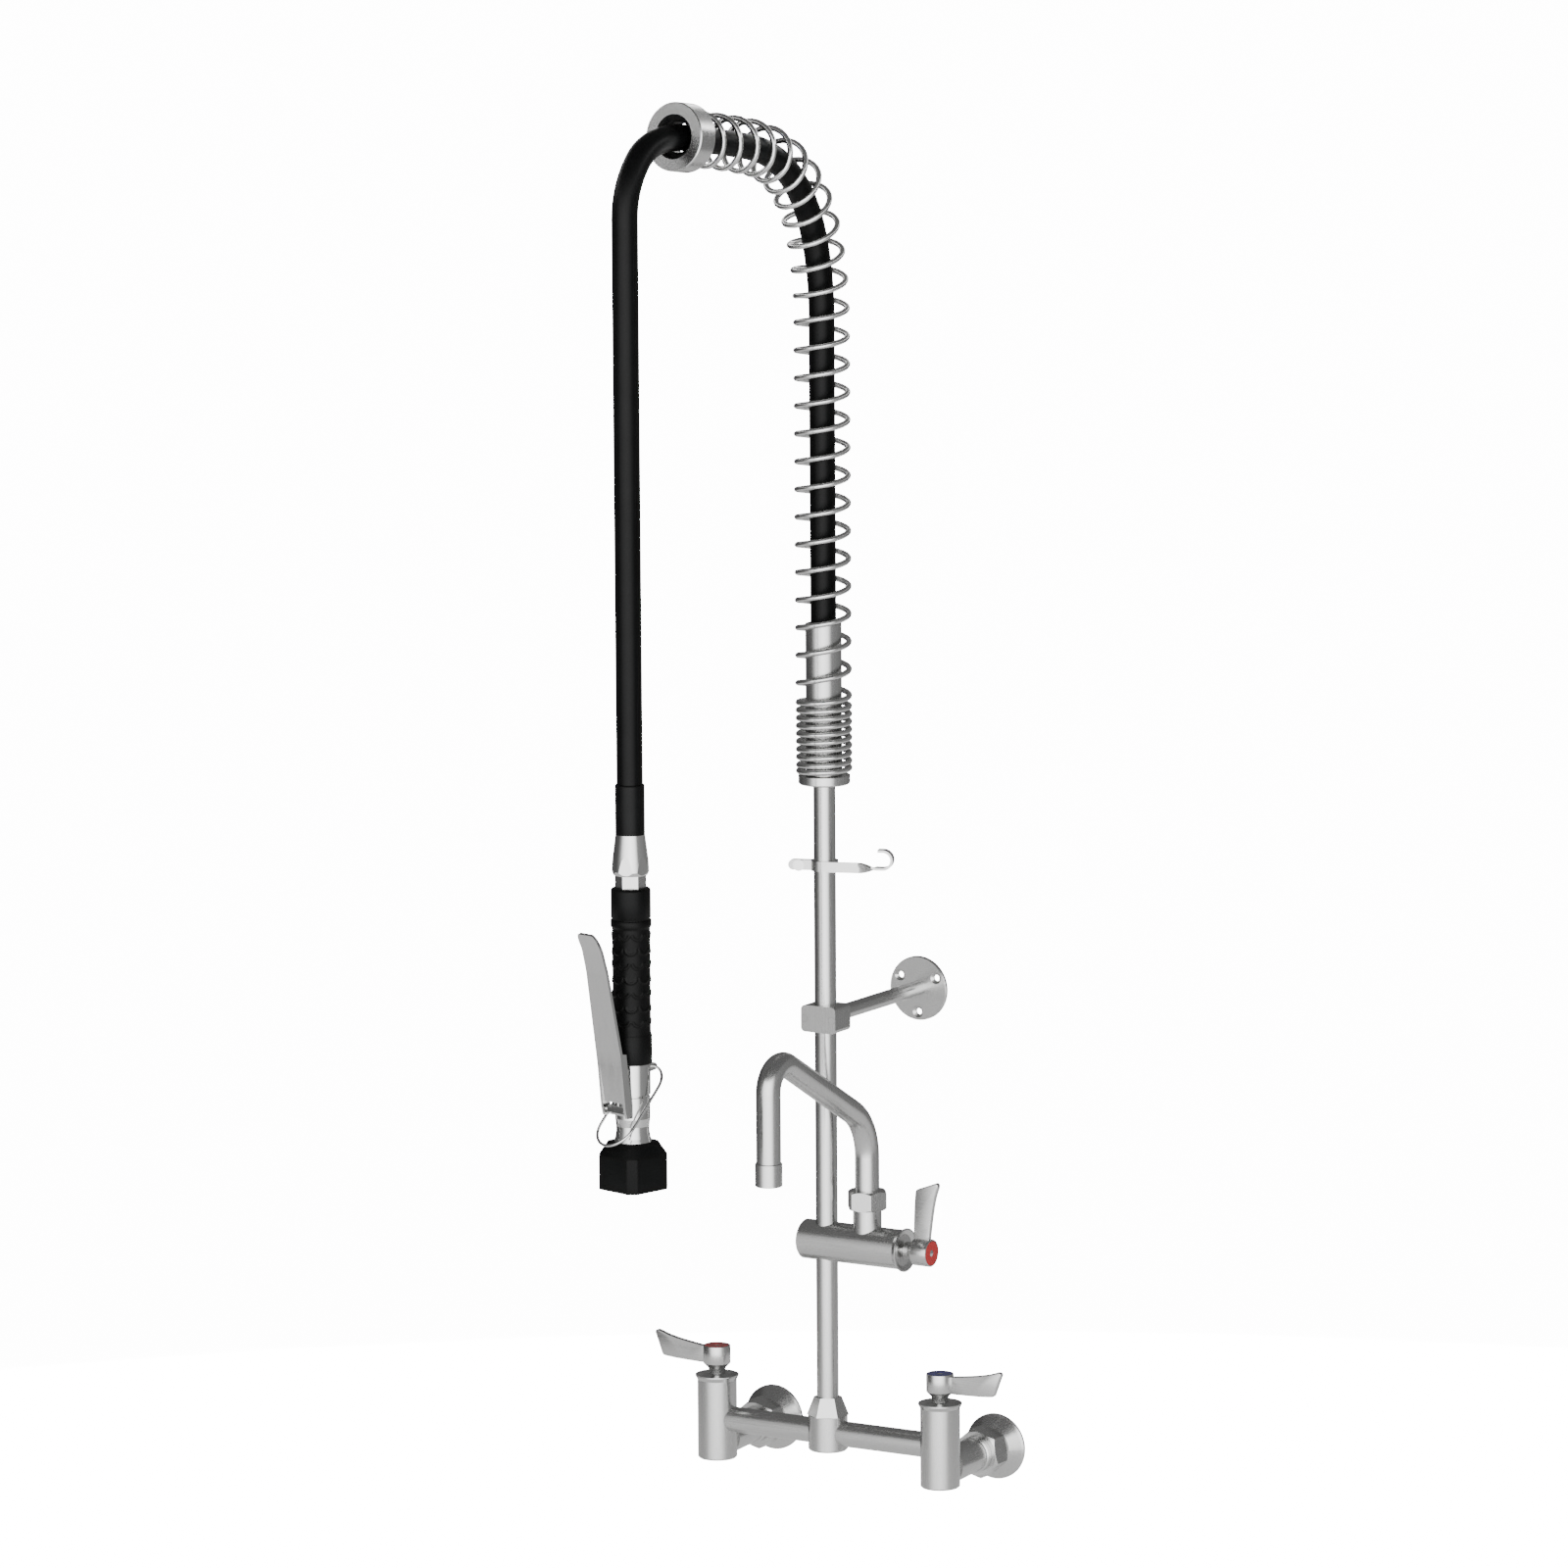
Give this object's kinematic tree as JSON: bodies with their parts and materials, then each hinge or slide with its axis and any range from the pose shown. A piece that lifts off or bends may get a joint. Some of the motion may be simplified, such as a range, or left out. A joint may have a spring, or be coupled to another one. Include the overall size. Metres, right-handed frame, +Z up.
{
  "type": "pre rinse faucet",
  "caption": "Wall-mounted commercial pre-rinse faucet with lever valves, a spring-guided hose arch, a squeeze-lever spray valve and an add-on swing spout",
  "frame": {"origin": "on the wall face of the two inlet flanges, midway between the inlet axes", "axes": "+X from the hot inlet on the left to the cold inlet on the right, +Y into the wall, +Z up"},
  "size_m": [0.3152, 0.4388, 1.0988],
  "materials": {
    "satin_steel": "satin brushed stainless steel",
    "bright_steel": "bright plated metal",
    "spring_wire": "drawn stainless spring wire",
    "valve_brass": "plain machined brass",
    "seal_rubber": "matt black rubber",
    "hose_rubber": "smooth black with a soft gloss",
    "cuff_black": "black, soft gloss",
    "grip_plastic": "moulded black with raised knurls",
    "guard_rubber": "matt black rubber",
    "face_plastic": "dark grey moulding",
    "index_red": "gloss red",
    "index_blue": "gloss dark blue"
  },
  "bodies": {
    "base": {"valve_body_left": "satin_steel", "valve_body_right": "satin_steel", "inlet_arm_left": "satin_steel", "inlet_arm_right": "satin_steel", "union_nuts": "satin_steel", "inlet_flange_left": "satin_steel", "inlet_flange_right": "satin_steel", "cross_bar_left": "satin_steel", "cross_bar_right": "satin_steel", "tee": "satin_steel", "riser_nut": "satin_steel", "riser_lower": "satin_steel", "riser_upper": "satin_steel", "bonnets": "satin_steel", "cartridges": "valve_brass", "addon_body": "satin_steel", "spout_nut": "satin_steel", "spout_seal": "seal_rubber", "clamp_front": "satin_steel", "clamp_back": "satin_steel", "clamp_screws": "bright_steel", "bracket_rod": "satin_steel", "bracket_plate": "satin_steel", "finger_hook": "satin_steel", "hook_screw": "bright_steel", "spring_base": "satin_steel", "spring_sleeve": "satin_steel", "hose_fitting": "valve_brass"},
    "hot_handle": {"stem_left": "satin_steel", "handle_left": "satin_steel", "index_disc_left": "index_red", "handle_screw_left": "bright_steel"},
    "cold_handle": {"stem_right": "satin_steel", "handle_right": "satin_steel", "index_disc_right": "index_blue", "handle_screw_right": "bright_steel"},
    "addon_handle": {"stem_addon": "satin_steel", "handle_addon": "satin_steel", "index_disc_addon": "index_red", "handle_screw_addon": "bright_steel"},
    "spout": {"spout_tube": "satin_steel", "spout_tip": "satin_steel"},
    "arch": {"arch_spring": "spring_wire", "hose": "hose_rubber", "top_ring": "satin_steel", "ring_liner": "cuff_black", "crimp_sleeve": "cuff_black", "coupling_nut": "bright_steel"},
    "spray": {"inlet_neck": "satin_steel", "grip_core": "valve_brass", "grip": "grip_plastic", "spray_body": "bright_steel", "plunger_spring": "bright_steel", "lever_pin": "bright_steel", "guard": "guard_rubber", "spray_face": "face_plastic", "face_screw": "bright_steel"},
    "lever": {"squeeze_lever": "satin_steel"},
    "plunger": {"plunger": "bright_steel"},
    "hold_ring": {"hold_ring": "bright_steel"}
  },
  "joints": [
    {"name": "hot_turn", "type": "hinge", "parent": "base", "child": "hot_handle", "pos_m": [-0.1016, -0.087, 0.06], "axis": [0, 0, 1], "range_deg": [0, 90]},
    {"name": "cold_turn", "type": "hinge", "parent": "base", "child": "cold_handle", "pos_m": [0.1016, -0.087, 0.06], "axis": [0, 0, -1], "range_deg": [0, 90]},
    {"name": "addon_turn", "type": "hinge", "parent": "base", "child": "addon_handle", "pos_m": [0.08, -0.087, 0.1695], "axis": [1, 0, 0], "range_deg": [0, 90]},
    {"name": "spout_swing", "type": "hinge", "parent": "base", "child": "spout", "pos_m": [0.0368, -0.087, 0.21], "axis": [0, 0, 1], "range_deg": [-55, 110]},
    {"name": "spring_lean", "type": "hinge", "parent": "base", "child": "arch", "pos_m": [0, -0.087, 0.733], "axis": [0.9962, -0.0872, 0], "range_deg": [-8, 12], "stiffness_Nm_per_rad": 40, "springref_deg": -5.16, "deforming": ["arch_spring", "hose"]},
    {"name": "spray_swivel", "type": "hinge", "parent": "arch", "child": "spray", "pos_m": [-0.02161, -0.33406, 0.49], "axis": [0, 0, 1], "continuous": true},
    {"name": "lever_squeeze", "type": "hinge", "parent": "spray", "child": "lever", "pos_m": [-0.0255, -0.34906, 0.316], "axis": [-0.9681, 0.2504, 0], "range_deg": [0, 8.5], "stiffness_Nm_per_rad": 1.5, "springref_deg": -6.88, "deforming": ["plunger_spring"]},
    {"name": "plunger_push", "type": "slide", "parent": "spray", "child": "plunger", "axis": [0.2504, 0.9681, 0], "range_m": [0, 0.0029]},
    {"name": "hold_ring_swing", "type": "hinge", "parent": "spray", "child": "hold_ring", "pos_m": [-0.01611, -0.31276, 0.345], "axis": [0.9681, -0.2504, 0], "range_deg": [-70, 0]}
  ],
  "couplings": [
    {"joint": "plunger_push", "follows": "lever_squeeze", "m_per_rad": 0.019}
  ]
}
